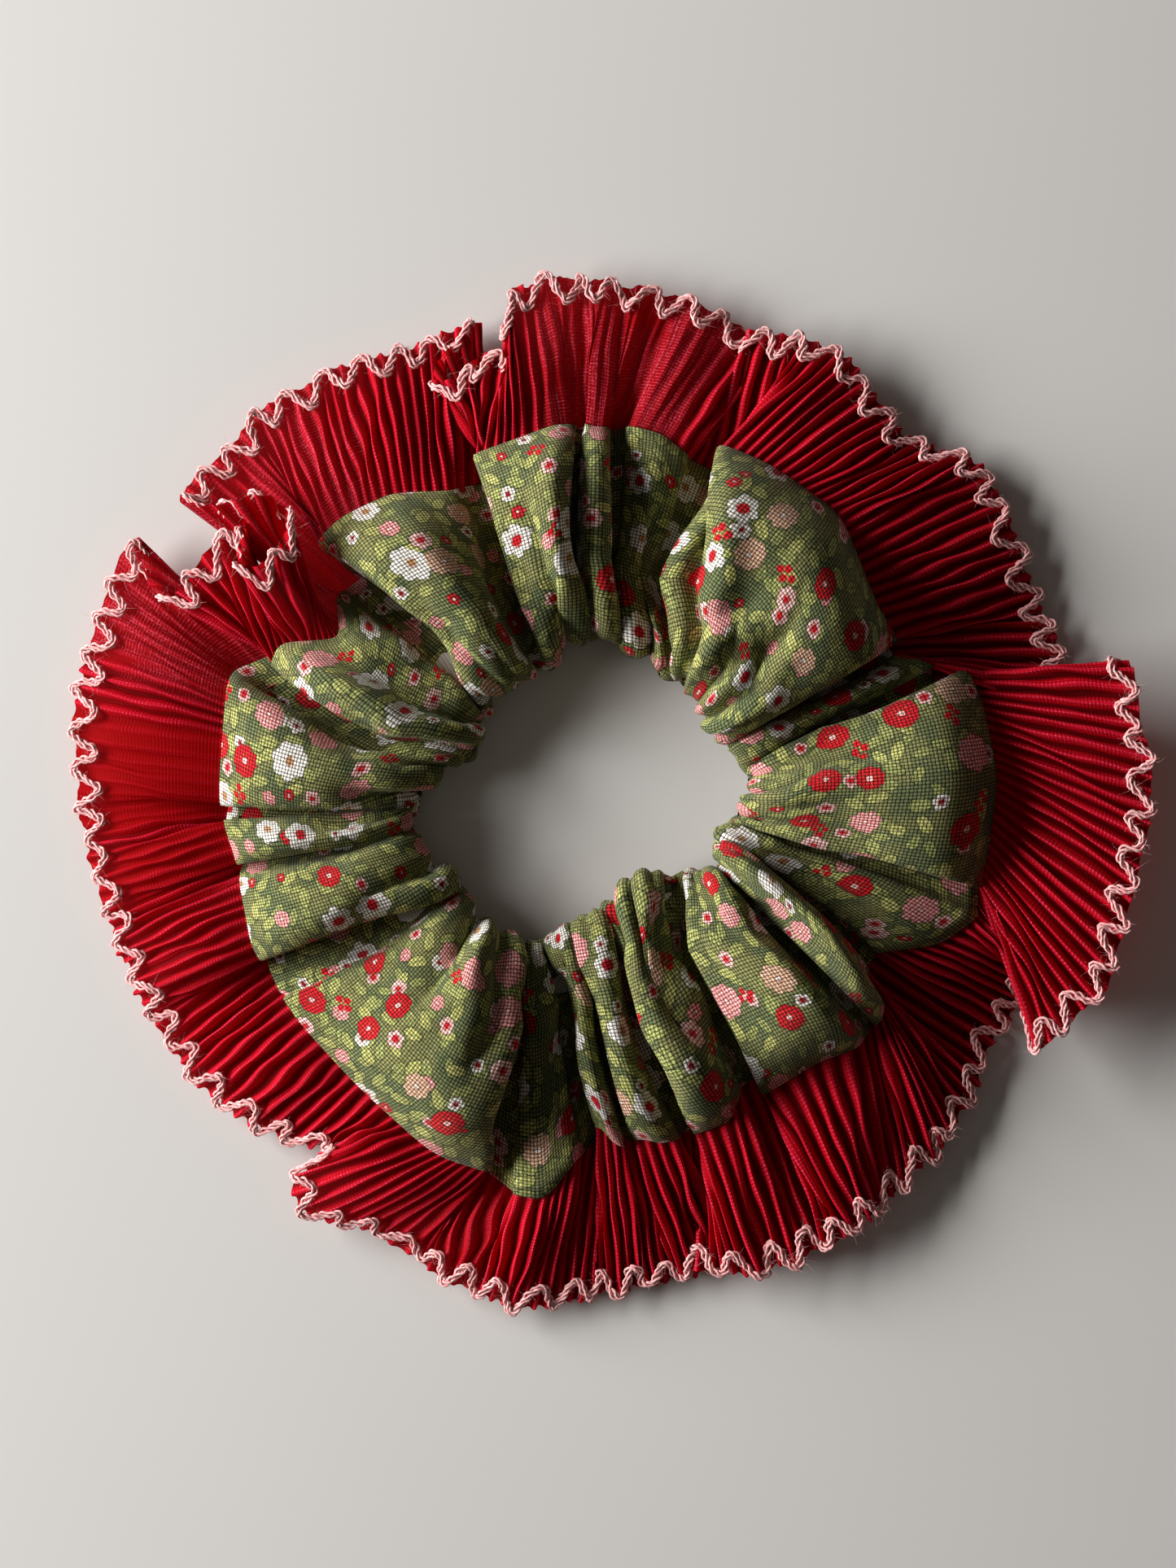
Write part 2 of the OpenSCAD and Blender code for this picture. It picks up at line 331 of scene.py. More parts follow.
# %% Drag wrinkles
# lobe, share of the lobe at the elastic and at the seam, where on the way out it starts and ends,
# depth and width in mm
WRINKLES = [
    (14, 0.24, 0.12, 0.15, 1.05, 2.6, 1.7), (13, 0.10, 0.12, 0.05, 1.0, 2.4, 2.2),
    (17, 0.10, 0.09, 0.1, 0.8, 2.0, 2.0), (8, 0.70, 0.84, 0.10, 1.0, 3.4, 2.2),
    (8, 0.35, 0.52, 0.0, 0.55, 1.5, 1.6), (8, 0.52, 0.30, 0.05, 0.6, 1.2, 1.4),
    (12, 0.30, 0.20, 0.0, 0.8, 1.4, 1.8), (12, 0.62, 0.66, 0.0, 0.75, 1.6, 1.8),
    (12, 0.84, 0.80, 0.2, 1.0, 1.2, 2.2), (13, 0.42, 0.55, 0.0, 1.0, 2.2, 2.2),
    (13, 0.75, 0.80, 0.0, 0.7, 1.4, 1.6), (14, 0.30, 0.42, 0.0, 0.75, 1.4, 1.8),
    (14, 0.70, 0.60, 0.0, 0.5, 1.6, 1.6), (2, 0.28, 0.16, 0.1, 1.0, 2.4, 2.2),
    (2, 0.52, 0.50, 0.15, 0.75, 3.4, 2.6), (2, 0.76, 0.86, 0.0, 0.7, 1.8, 1.6),
    (3, 0.45, 0.72, 0.0, 0.6, 1.2, 1.6), (6, 0.30, 0.22, 0.0, 0.7, 1.5, 1.8),
    (6, 0.62, 0.70, 0.0, 0.6, 1.5, 1.6), (9, 0.50, 0.50, 0.0, 0.8, 1.6, 1.8),
    (11, 0.45, 0.60, 0.0, 0.9, 1.8, 1.8), (16, 0.55, 0.60, 0.0, 0.6, 1.4, 1.6),
    (17, 0.46, 0.30, 0.0, 0.62, 1.8, 1.8), (17, 0.70, 0.60, 0.0, 0.7, 1.6, 1.6),
    (17, 0.88, 0.86, 0.2, 1.0, 1.6, 2.4), (5, 0.40, 0.48, 0.1, 0.9, 1.2, 2.0),
    (15, 0.50, 0.55, 0.0, 0.7, 1.4, 1.6),
]
SMALL_WRINKLES = 64
wrinkle_rng = np.random.default_rng(40)
drags = list(WRINKLES)
for _ in range(SMALL_WRINKLES):
    lobe = int(wrinkle_rng.choice(len(LOBES), p=cell_cloth / cell_cloth.sum()))
    start_share = wrinkle_rng.uniform(0.08, 0.92)
    far = wrinkle_rng.uniform(0.25, 0.75)
    turn_away = wrinkle_rng.normal(0, 0.16)
    drags.append((lobe, start_share, start_share + turn_away, wrinkle_rng.choice([0.0, 0.0, 0.25]), far,
                  wrinkle_rng.uniform(0.4, 1.1), wrinkle_rng.uniform(0.8, 1.6)))

into_under = np.where(row_lower, 1 - ease(row_out / 0.3), 1.0)
pushed = np.zeros(tube.shape[:2])
for lobe, near, far, begin, end, depth, width in drags:
    line = near + (far - near) * row_out + 0.03 * np.sin(row_out * 7 + lobe)
    cloth_wide = cell_cloth[lobe] * (0.5 + 0.5 * row_out[:, None])
    away = (column_share[None, :] - line[:, None]) * cloth_wide / width
    valley = np.exp(-np.abs(away) ** 1.35) - 0.40 * np.exp(-((np.abs(away) - 2.0) ** 2) / 0.8)
    window = ease((row_out - begin + 0.08) / 0.16) * ease((end - row_out) / (0.45 * (end - begin)))
    from_edge = np.minimum(column_share, 1 - column_share)
    here = ((column_cell == lobe) * np.minimum(1, 6 * from_edge))[None, :]
    pushed -= depth * valley * here * (window * into_under)[:, None]
tube = tube + normals * pushed[:, :, None]

DENT_DEPTH = 0.35
dent_shift = 2 * waves(column_turn * 6, 12)[None, :]
dent = waves(column_turn * 16, 11)[None, :] * np.sin(row_out * 5.0 + dent_shift.T).T
dent_fade = np.sin(math.pi * np.clip(row_out, 0, 1))[:, None]
tube += normals * (DENT_DEPTH * dent * dent_fade)[:, :, None]

closing_column = cell_start[CLOSING_CELL] + int(SEAM_SHARE * cell_steps[CLOSING_CELL])
for beside, depth in ((-2, -0.10), (-1, -0.16), (0, 0.55), (1, -0.16), (2, -0.10)):
    tube[:, closing_column + beside] -= normals[:, closing_column + beside] * depth
tube[:, :, 2] = np.maximum(tube[:, :, 2], TABLE_GAP)


# %% Build the casing
def put_mesh(name, points, faces, uv=None):
    """A smooth-shaded mesh object from points in mm."""
    mesh = bpy.data.meshes.new(name)
    mesh.from_pydata((np.asarray(points) * MM).tolist(), [], faces)
    mesh.shade_smooth()
    if uv is not None:
        layer = mesh.uv_layers.new(name="cloth")
        layer.data.foreach_set("uv", np.asarray(uv, np.float32).ravel())
    obj = bpy.data.objects.new(name, mesh)
    bpy.context.collection.objects.link(obj)
    return obj


def grid_faces(row_count, columns, closed_rows):
    """Faces of a grid of points that is closed along its columns."""
    faces = []
    for i in range(row_count if closed_rows else row_count - 1):
        below = (i + 1) % row_count
        for j in range(columns):
            beside = (j + 1) % columns
            corners = ((i, j), (i, beside), (below, beside), (below, j))
            faces.append(tuple(row * columns + column for row, column in corners))
    return faces


def grid_uv(across, along):
    """Cloth coordinates in metres for the corners of grid_faces."""
    uv = []
    for c, d in zip(across[:-1], across[1:]):
        for a, b in zip(along[:-1], along[1:]):
            uv += [(a, c), (b, c), (b, d), (a, d)]
    return np.array(uv) * MM


def apply_modifier(obj, kind, **settings):
    modifier = obj.modifiers.new(kind.lower(), kind)
    for key, value in settings.items():
        setattr(modifier, key, value)
    bpy.context.view_layer.objects.active = obj
    bpy.ops.object.modifier_apply(modifier=modifier.name)


COTTON_THICK = 0.28
row_step = np.linalg.norm(np.diff(np.concatenate([tube, tube[:1]]), axis=0), axis=2).mean(1)
cloth_across = running(row_step)
ring = np.roll(tube, -closing_column, axis=1)
cloth_along = running(np.roll(cloth_step, -closing_column))
casing = put_mesh(
    "casing",
    ring.reshape(-1, 3),
    grid_faces(ring.shape[0], ring.shape[1], True),
    grid_uv(cloth_across, cloth_along),
)

# %% [markdown]
# ## The ruffle
# The ruffle is a strip of accordion-pleated chiffon. It leaves the seam wherever the seam goes, laps
# and all, and fans out to a hem that has its own loose folds, set by a short table.

# %% Hem of the ruffle
# place along the ring in lobes, angle in degrees, distance from the middle and height in mm
HEM = [
    (0.0, -90, 67.5, 1.6), (0.6, -84, 66.5, 1.6), (1.2, -79, 66.3, 1.4), (1.65, -73, 65.5, 1.0),
    (1.9, -77.5, 65.5, 3.2), (2.3, -70, 68.2, 4.0), (2.8, -64, 68.4, 4.5), (3.3, -58, 68.4, 4.5),
    (3.8, -53, 67.6, 3.2), (4.3, -46, 67.4, 2.2), (4.7, -40, 66.3, 1.8), (5.0, -34, 64.8, 1.4),
    (5.3, -26, 64.0, 1.0), (5.6, -21, 65.5, 1.2), (5.85, -25, 67, 4.0), (6.0, -29.5, 69.2, 8.0),
    (6.2, -20, 73.3, 10), (6.4, -9, 74.2, 11), (6.65, 3, 75.2, 11), (6.85, 14.8, 75.3, 10),
    (7.05, 11, 70.5, 5.0), (7.3, 8, 67.5, 2.4), (7.7, 15, 67.0, 1.6), (8.0, 21, 67.2, 1.6),
    (8.2, 30, 68.0, 1.8), (8.4, 40, 70.5, 2.6), (8.6, 49, 66.0, 2.2), (8.8, 60, 69.6, 3.6),
    (9.0, 67, 69.3, 4.0), (9.15, 71.5, 67.5, 3.6), (9.3, 67, 66.0, 1.4), (9.5, 72, 68.0, 1.6),
    (9.8, 80, 69.9, 2.6), (10.5, 88, 70.8, 3.2), (11.0, 93, 71.3, 3.4), (11.4, 98.5, 70.8, 4.0),
    (11.55, 99.8, 66, 4.8), (11.65, 99.5, 62.2, 5.0), (11.75, 104, 62.6, 5.2), (11.85, 106, 59.8, 5.0),
    (11.93, 111, 60.4, 4.4), (12.0, 109, 64.0, 3.4), (12.08, 102.5, 67.3, 2.4), (12.2, 107, 67.2, 1.8),
    (12.35, 113, 66.4, 2.0), (12.55, 121, 69.0, 2.8), (12.8, 131, 69.4, 3.6), (13.1, 138, 68.8, 4.6),
    (13.3, 142.6, 69.3, 5.6), (13.38, 143.9, 69.0, 6.5), (13.44, 142.0, 64.3, 9.0),
    (13.49, 136.8, 61.1, 10.5), (13.54, 135.6, 56.6, 12), (13.59, 139.1, 53.8, 12.5),
    (13.64, 144.2, 53.6, 12.5), (13.69, 146.6, 56.0, 12), (13.74, 143.4, 58.2, 11),
    (13.79, 140.3, 59.6, 10), (13.84, 143.1, 60.5, 9.0), (13.89, 147.5, 62.6, 7.5),
    (13.94, 153.9, 62.5, 7.0), (13.99, 154.3, 65.9, 6.0), (14.04, 151.9, 69.0, 5.0),
    (14.09, 149.0, 70.8, 4.0),
    (14.18, 153.2, 72.1, 3.0), (14.3, 158, 72.0, 2.6), (14.6, 171, 71.4, 2.4), (15.0, 181, 69.6, 2.2),
    (15.6, 189, 68.3, 2.0), (16.3, 197, 67.4, 2.0), (17.0, 207, 66.8, 2.0), (17.2, 216, 65.8, 2.0),
    (17.38, 224, 64.0, 1.8), (17.5, 230, 61.5, 1.6), (17.58, 233.5, 58.9, 1.6),
    (17.65, 232.3, 62.5, 3.6), (17.7, 231.6, 66.0, 4.2), (17.76, 235, 68.6, 3.4),
    (17.85, 242, 66.3, 2.2), (17.95, 250, 67.0, 2.0), (18.3, 258, 69.4, 2.2), (18.7, 265, 69.4, 2.0),
]
PLEATS = 300
STEPS_PER_PLEAT = 10
RUFFLE_ROWS = 24
HEADER_ROWS = 4
HEM_SOFTNESS = 3.5
HEM_REACH = 60
FINE = 4000

seam_line = (tube[TOP_ROWS] + tube[TOP_ROWS + 1]) / 2
header_line_in = (tube[TOP_ROWS - HEADER_ROWS] + tube[TOP_ROWS + HEADER_ROWS]) / 2
column_place = column_cell + column_share
hem = np.array(HEM, float)
hem_turn = np.radians(hem[:, 1])
hem_xyz = np.stack([hem[:, 2] * np.cos(hem_turn), hem[:, 2] * np.sin(hem_turn), hem[:, 3]], 1)
closed_place = np.concatenate([hem[:, 0], [len(LOBES)]])
closed_hem = np.concatenate([hem_xyz, hem_xyz[:1]])
fine_place = np.arange(FINE) / FINE * len(LOBES)
fine_marks = np.arange(FINE + 1) / FINE * len(LOBES)
fine_hem = read_line(fine_place, closed_place, closed_hem)
weights = np.exp(-0.5 * (np.arange(-HEM_REACH, HEM_REACH + 1) / HEM_SOFTNESS) ** 2)
weights /= weights.sum()
for i in range(3):
    wrapped = np.concatenate([fine_hem[-HEM_REACH:, i], fine_hem[:, i], fine_hem[:HEM_REACH, i]])
    fine_hem[:, i] = np.convolve(wrapped, weights, "valid")
hem_turn = 2 * math.pi * fine_place / len(LOBES)
outward = fine_hem * [1, 1, 0] / np.linalg.norm(fine_hem[:, :2], axis=1, keepdims=True)
fine_hem += outward * 0.55 * waves(hem_turn * 34, 51)[:, None]
fine_hem[:, 2] += 0.5 * waves(hem_turn * 38, 52)
fine_hem[:, 2] = np.maximum(fine_hem[:, 2], 0.9)
place_closed = np.concatenate([column_place, [len(LOBES)]])
fine_seam, fine_header = [
    read_line(fine_place, place_closed, np.concatenate([line, line[:1]]))
    for line in (seam_line, header_line_in)
]


def closed_steps(line):
    return np.linalg.norm(np.roll(line, -1, 0) - line, axis=1)


pleat_pace = 0.4 * closed_steps(fine_seam) + 0.6 * closed_steps(fine_hem)
pleat_along = running(pleat_pace)
width_rng = np.random.default_rng(17)
pleat_width = width_rng.uniform(0.82, 1.18, PLEATS) * (1 + 0.18 * waves(np.arange(PLEATS) / 9.0, 18))
pleat_edge = running(pleat_width)
pleat_edge *= pleat_along[-1] / pleat_edge[-1]
pleat_at = np.arange(PLEATS * STEPS_PER_PLEAT) / STEPS_PER_PLEAT
step_along = np.interp(pleat_at, np.arange(PLEATS + 1), pleat_edge)
place_of_step = np.interp(step_along, pleat_along, fine_marks)


def at_place(line, place):
    """Points of a fine line at places counted in lobes."""
    return read_line(place, fine_marks, np.concatenate([line, line[:1]]))


ruffle_seam = at_place(fine_seam, place_of_step)
ruffle_hem = at_place(fine_hem, place_of_step)
ruffle_header = at_place(fine_header, place_of_step)
seam_and_hem = [round(float(closed_steps(line).sum())) for line in (fine_seam, fine_hem)]
print("seam and hem in mm:", *seam_and_hem)

# %% The ruffle's smooth surface, then its pleats
ruffle_out = np.concatenate([[-0.25, -0.1], np.linspace(0, 1, RUFFLE_ROWS)])
wander = waves(pleat_at / PLEATS * 2 * math.pi * 21, 21)
ruffle = []
for out in ruffle_out:
    if out < 0:
        line = ruffle_seam + (ruffle_header - ruffle_seam) * (-out / 0.25)
    else:
        line = ruffle_seam + (ruffle_hem - ruffle_seam) * out
        line[:, 2] += (1.6 + 0.9 * wander) * math.sin(math.pi * out) * (1 - 0.3 * out)
    ruffle.append(line)
ruffle = np.array(ruffle)
smooth_normals = grid_normals(ruffle, closed_rows=False)
for _ in range(8):
    beside = np.roll(smooth_normals, 1, 1) + np.roll(smooth_normals, -1, 1)
    smooth_normals = unit(smooth_normals + beside)
if smooth_normals[:, :, 2].mean() < 0:
    smooth_normals = -smooth_normals

# places where the pleats are pressed open: from, to, how far opened, how strong the painted glint of light
# through the threads is
PRESSED = [
    (9.42, 11.35, 0.9, 1.0), (12.45, 13.5, 0.5, 0.85), (13.95, 14.5, 0.9, 1.0),
    (14.5, 15.3, 0.92, 0.0), (15.3, 16.1, 0.75, 0.0), (16.1, 17.1, 0.35, 0.10), (17.75, 18.3, 0.5, 0.25),
]
pressed = np.zeros_like(place_of_step)
sheer = np.zeros_like(place_of_step)
for begin, end, share, light in PRESSED:
    edge = ease((place_of_step - begin) / 0.12) * ease((end - place_of_step) / 0.12)
    pressed = np.maximum(pressed, share * edge)
    sheer = np.maximum(sheer, light * edge)

pleat_rng = np.random.default_rng(5)
pleat_rise = pleat_rng.uniform(0.85, 1.2, PLEATS)
pleat_number = pleat_at.astype(int)
pleat_phase = 0.5 + 0.5 * np.cos(2 * math.pi * (pleat_at % 1))
pleat_crest = pleat_phase ** 1.5
opened = np.clip(ruffle_out, 0, 1)
pleat_height = np.where(ruffle_out < 0, 0.12, 0.18 + 0.50 * ease(opened / 0.35))
flatter = 1 - 0.85 * pressed
push = pleat_height[:, None] * ((2 * pleat_crest - 0.9) * pleat_rise[pleat_number] * flatter)[None, :]
tangent = unit(np.roll(ruffle, -1, 1) - np.roll(ruffle, 1, 1))
ring_turn = 2 * math.pi * pleat_at / PLEATS
sway = np.array([
    math.sin(math.pi * min(max(o, 0), 1)) * (
        0.55 * waves(ring_turn * 26 + 3.0 * o, 33) + 0.10 * waves(ring_turn * 120 + 4.0 * o, 34)
    )
    for o in ruffle_out
])
ruffle_surface = ruffle + smooth_normals * push[:, :, None] + tangent * sway[:, :, None]
ruffle_surface[:, :, 2] = np.maximum(ruffle_surface[:, :, 2], TABLE_GAP)

row_gap = np.linalg.norm(np.diff(ruffle_surface, axis=0), axis=2).mean(1)
chiffon_across = running(row_gap)
middle_row = ruffle_surface[len(ruffle_out) // 2]
chiffon_step = closed_steps(middle_row)
chiffon_along = running(chiffon_step)
ruffle_piece = put_mesh(
    "ruffle",
    ruffle_surface.reshape(-1, 3),
    grid_faces(len(ruffle_out), ruffle_surface.shape[1], False),
    grid_uv(chiffon_across, chiffon_along),
)

apply_modifier(casing, "SOLIDIFY", thickness=COTTON_THICK * MM, offset=-1)


def put_values(obj, name, values):
    """Keep one number for each point of a mesh, for the material to read."""
    layer = obj.data.attributes.new(name, "FLOAT", "POINT")
    layer.data.foreach_set("value", np.asarray(values, np.float32).ravel())


put_values(ruffle_piece, "crest", np.tile(pleat_crest, (len(ruffle_out), 1)))
put_values(ruffle_piece, "pressed", np.tile(pressed, (len(ruffle_out), 1)))
put_values(ruffle_piece, "sheer", np.tile(sheer, (len(ruffle_out), 1)))

# %% [markdown]
# ## The edging
# A soft yarn of four loose strands is sewn along the hem in zigzags, with the raw edge just outside
# it. The path is found on the ruffle's own surface, and the strands part and meet again along it, as
# in a chain stitch. A bevelled curve would do for a plain cord, but loose fibres need a mesh.

# %% Path of the edging
ZIGZAG_PITCH = 5.5
ZIGZAG_IN = (3.35, -0.25)
YARN_STEP = 0.32
PLY_TURN = 6.4
CHAIN_LINK = 1.8


def surface_at(place, out, lift):
    """Points and normals on the ruffle's smooth surface, lift mm above it."""
    step = np.interp(place, place_of_step, np.arange(len(place_of_step)))
    low = np.floor(step).astype(int)
    part = (step - low)[:, None]
    nearby = (low + 1) % ruffle.shape[1]
    row = np.interp(out, ruffle_out, np.arange(len(ruffle_out)))
    row = row + np.maximum(out - 1, 0) * (RUFFLE_ROWS - 1)
    row_low = np.minimum(np.floor(row).astype(int), len(ruffle_out) - 2)
    row_part = (row - row_low)[:, None]

    def blend_grid(grid):
        near = grid[row_low, low] * (1 - part) + grid[row_low, nearby] * part
        far = grid[row_low + 1, low] * (1 - part) + grid[row_low + 1, nearby] * part
        return near * (1 - row_part) + far * row_part

    normal = unit(blend_grid(smooth_normals))
    return blend_grid(ruffle) + normal * lift, normal


hem_steps = closed_steps(fine_hem)
hem_along = running(hem_steps)
zigzags = int(round(hem_along[-1] / ZIGZAG_PITCH))
turns_at = np.linspace(0, zigzags, zigzags * 40 + 1)
yarn_rng = np.random.default_rng(8)
uneven = 0.16 * np.interp(turns_at, np.arange(zigzags + 1), yarn_rng.normal(0, 1, zigzags + 1))
depth_of = 1 + 0.16 * np.interp(turns_at, np.arange(zigzags + 1), yarn_rng.normal(0, 1, zigzags + 1))
swing = np.arcsin(0.98 * np.cos(2 * math.pi * turns_at)) / math.asin(0.98)
even_pace = turns_at + 0.035 * np.sin(4 * math.pi * turns_at)
along_hem = (even_pace + uneven * 0.6) / zigzags * hem_along[-1]
place_line = np.interp(along_hem % hem_along[-1], hem_along, fine_marks)
local_width = np.linalg.norm(at_place(fine_hem, place_line) - at_place(fine_seam, place_line), axis=1)
middle_in = sum(ZIGZAG_IN) / 2
from_hem = middle_in - (ZIGZAG_IN[0] - ZIGZAG_IN[1]) / 2 * swing * depth_of
yarn_path, yarn_up = surface_at(place_line, 1 - from_hem / local_width, 0.75)
path_along = running(lengths(yarn_path))
yarn_count = int(path_along[-1] / YARN_STEP)
evenly = np.linspace(0, path_along[-1], yarn_count + 1)[:-1]
yarn_path = soften(read_line(evenly, path_along, yarn_path), 2)
yarn_up = read_line(evenly, path_along, yarn_up)
yarn_path[:, 2] = np.maximum(yarn_path[:, 2], 0.8)
print("zigzags:", zigzags, "yarn length in mm:", round(float(path_along[-1])))

# %% Plies and loose fibres
PLY_RADIUS = 0.18
PLY_OFFSET = 0.43
PLIES = 4
PLY_SIDES = 5
FIBRES = 3300


def frames_along(path, up):
    """Sideways and upward unit vectors along a closed path."""
    ahead = unit(np.roll(path, -1, 0) - np.roll(path, 1, 0))
    side = unit(np.cross(up, ahead))
    return side, np.cross(ahead, side)


def closed_tube(path, up, radius, sides):
    """Points and faces of a tube round a closed path."""
    side, lift = frames_along(path, up)
    turn = 2 * math.pi * np.arange(sides) / sides
    ring = path[:, None] + radius * (
        np.cos(turn)[None, :, None] * side[:, None] + np.sin(turn)[None, :, None] * lift[:, None]
    )
    return ring.reshape(-1, 3), grid_faces(len(path), sides, True)


yarn_side, yarn_lift = frames_along(yarn_path, yarn_up)
yarn_points, yarn_faces, yarn_uv = [], [], []
twist = 2 * math.pi * np.round(evenly[-1] / PLY_TURN) * np.arange(yarn_count) / yarn_count
link_turn = 2 * math.pi * np.round(evenly[-1] / CHAIN_LINK) * np.arange(yarn_count) / yarn_count
for ply in range(PLIES):
    phase = twist + 2 * math.pi * ply / PLIES + 0.5 * waves(link_turn * 0.13, 60 + ply)
    apart = PLY_OFFSET * (0.72 + 0.34 * np.cos(link_turn + 2.4 * ply))
    ply_path = yarn_path + apart[:, None] * (
        1.25 * np.cos(phase)[:, None] * yarn_side + 0.75 * np.sin(phase)[:, None] * yarn_lift
    )
    points, faces = closed_tube(ply_path, yarn_up, PLY_RADIUS, PLY_SIDES)
    base = sum(len(p) for p in yarn_points)
    yarn_points.append(points)
    yarn_faces += [tuple(base + i for i in f) for f in faces]
    ends = np.concatenate([evenly, [path_along[-1]]])
    yarn_uv.append(grid_uv(ends, np.arange(PLY_SIDES + 1)))

fibre_rng = np.random.default_rng(31)
fibre_lines = []
for _ in range(FIBRES):
    at = fibre_rng.integers(yarn_count)
    turn = fibre_rng.uniform(0, 2 * math.pi)
    away = math.cos(turn) * yarn_side[at] + math.sin(turn) * yarn_lift[at]
    drift = fibre_rng.normal(0, 1, 3)
    size = fibre_rng.uniform(0.4, 1.35)
    start = yarn_path[at] + away * 0.35
    line = [start + (away * t + drift * 0.55 * t * t) * size for t in (0, 0.4, 0.75, 1.0)]
    fibre_lines.append(np.array(line))
FIBRE_RADIUS = 0.016
fibre_base = sum(len(p) for p in yarn_points)
corner = np.array([[1, 0, 0], [-0.5, 0.87, 0], [-0.5, -0.87, 0]]) * FIBRE_RADIUS
for line in fibre_lines:
    line[:, 2] = np.maximum(line[:, 2], 0.2)
    ring = np.concatenate([p + corner * (1 - 0.25 * i) for i, p in enumerate(line)])
    yarn_points.append(ring)
    for i in range(3):
        for j in range(3):
            a, b = fibre_base + 3 * i + j, fibre_base + 3 * i + (j + 1) % 3
            yarn_faces.append((a, b, b + 3, a + 3))
    yarn_faces += [
        (fibre_base + 2, fibre_base + 1, fibre_base), (fibre_base + 9, fibre_base + 10, fibre_base + 11)
    ]
    yarn_uv.append(np.zeros((9 * 4 + 6, 2)))
    fibre_base += 12
edging = put_mesh("edging", np.concatenate(yarn_points), yarn_faces, np.concatenate(yarn_uv))
bpy.context.view_layer.objects.active = edging

# %% [markdown]
# ## The elastic and the stitches
# Inside the gathers lies a flat woven elastic, and the seams are held by rows of stitches. They are
# out of sight, but the real thing needs them to hold together, so they follow the cloth round.

# %% Room for the elastic inside the gathers
ELASTIC_WIDTH = 6.0
ELASTIC_THICK = 0.8
ELASTIC_STEPS = 240
ELASTIC_IN = 6.2
ELASTIC_UP = 0.25
ELASTIC_LEAN = math.sqrt(1 - ELASTIC_UP ** 2)
ELASTIC_SHARE = 0.4
NEAR_TURN = 2.5
NEAR_REACH = 2.2

opening_turn = np.arange(ELASTIC_STEPS) * 360 / ELASTIC_STEPS
opening_line = around(OPENING, opening_turn)
elastic_reach = soften(opening_line, 20) + ELASTIC_IN
tube_turn = np.degrees(np.arctan2(tube[..., 1], tube[..., 0])) % 360
tube_reach = np.hypot(tube[..., 0], tube[..., 1])


def room_inside(angle, reach):
    """Top of the lower cloth and bottom of the upper cloth round a place, in mm."""
    near = np.abs((tube_turn - angle + 180) % 360 - 180) < NEAR_TURN
    near &= np.abs(tube_reach - reach) < NEAR_REACH
    upper = tube[: TOP_ROWS + 1, :, 2][near[: TOP_ROWS + 1]]
    lower = tube[TOP_ROWS + 1 :, :, 2][near[TOP_ROWS + 1 :]]
    return np.percentile(lower, 92), np.percentile(upper, 8)


rooms = np.array([room_inside(a, r) for a, r in zip(opening_turn, elastic_reach)])
rooms = soften(rooms, 6)
elastic_z = rooms[:, 0] + (rooms[:, 1] - rooms[:, 0]) * ELASTIC_SHARE
print("usual room for the elastic in mm:", round(float((rooms[:, 1] - rooms[:, 0]).mean()), 1))

# %% Elastic
def active_piece(name):
    piece = bpy.context.object
    piece.name = name
    return piece


def deselect_all():
    bpy.ops.object.select_all(action="DESELECT")


deselect_all()
bpy.ops.mesh.primitive_circle_add(vertices=ELASTIC_STEPS, radius=24 * MM, location=(0, 0, 0))
elastic = active_piece("elastic")
bpy.ops.object.mode_set(mode="EDIT")
bpy.ops.mesh.extrude_region_move(TRANSFORM_OT_translate={"value": (0, 0, 0.5 * ELASTIC_WIDTH * MM)})
bpy.ops.mesh.extrude_region_move(TRANSFORM_OT_translate={"value": (0, 0, 0.5 * ELASTIC_WIDTH * MM)})
bpy.ops.object.mode_set(mode="OBJECT")


def on_elastic(angle, height, lift=0.0):
    """A point of the elastic in mm: height along its width, lift above its middle."""
    values = [np.interp(angle % 360, opening_turn, line, period=360)
              for line in (elastic_reach, elastic_z)]
    reach = values[0] - height * ELASTIC_LEAN + lift * ELASTIC_UP
    turn = math.radians(angle)
    up = values[1] + height * ELASTIC_UP + lift * ELASTIC_LEAN
    return [reach * math.cos(turn), reach * math.sin(turn), up]


for vertex in elastic.data.vertices:
    x, y, z = vertex.co
    angle = math.degrees(math.atan2(y, x))
    vertex.co = [v * MM for v in on_elastic(angle, z / MM - ELASTIC_WIDTH / 2)]
elastic.data.shade_smooth()
apply_modifier(elastic, "SOLIDIFY", thickness=ELASTIC_THICK * MM, offset=0)
apply_modifier(elastic, "BEVEL", width=0.2 * MM, segments=2, limit_method="ANGLE")
print("elastic round in mm:", round(float(2 * math.pi * elastic_reach.mean())))

# %% Stitches
THREAD = 0.12
STITCH = 2.3
STITCH_PITCH = 3.4


def dash(start, end):
    """A short round-ended stitch between two points, as points and faces."""
    along = end - start
    along = along / max(np.linalg.norm(along), 1e-9)
    side = np.cross(along, [0.13, 0.27, 0.95])
    side /= np.linalg.norm(side)
    other = np.cross(along, side)
    points = []
    for share, size in ((0, 0.45), (0.12, 1), (0.88, 1), (1, 0.45)):
        middle = start + (end - start) * share
        points += [middle + THREAD * size * (math.cos(t) * side + math.sin(t) * other)
                   for t in np.arange(6) * math.pi / 3]
    faces = [(6 * i + j, 6 * i + (j + 1) % 6, 6 * i + 6 + (j + 1) % 6, 6 * i + 6 + j)
             for i in range(3) for j in range(6)]
    return points, faces + [tuple(range(5, -1, -1)), tuple(range(18, 24))]


def stitches(name, pairs):
    """One piece of thread for each start and end."""
    points, faces = [], []
    for start, end in pairs:
        new_points, new_faces = dash(np.asarray(start, float), np.asarray(end, float))
        faces += [tuple(len(points) + i for i in f) for f in new_faces]
        points += new_points
    return put_mesh(name, points, faces)


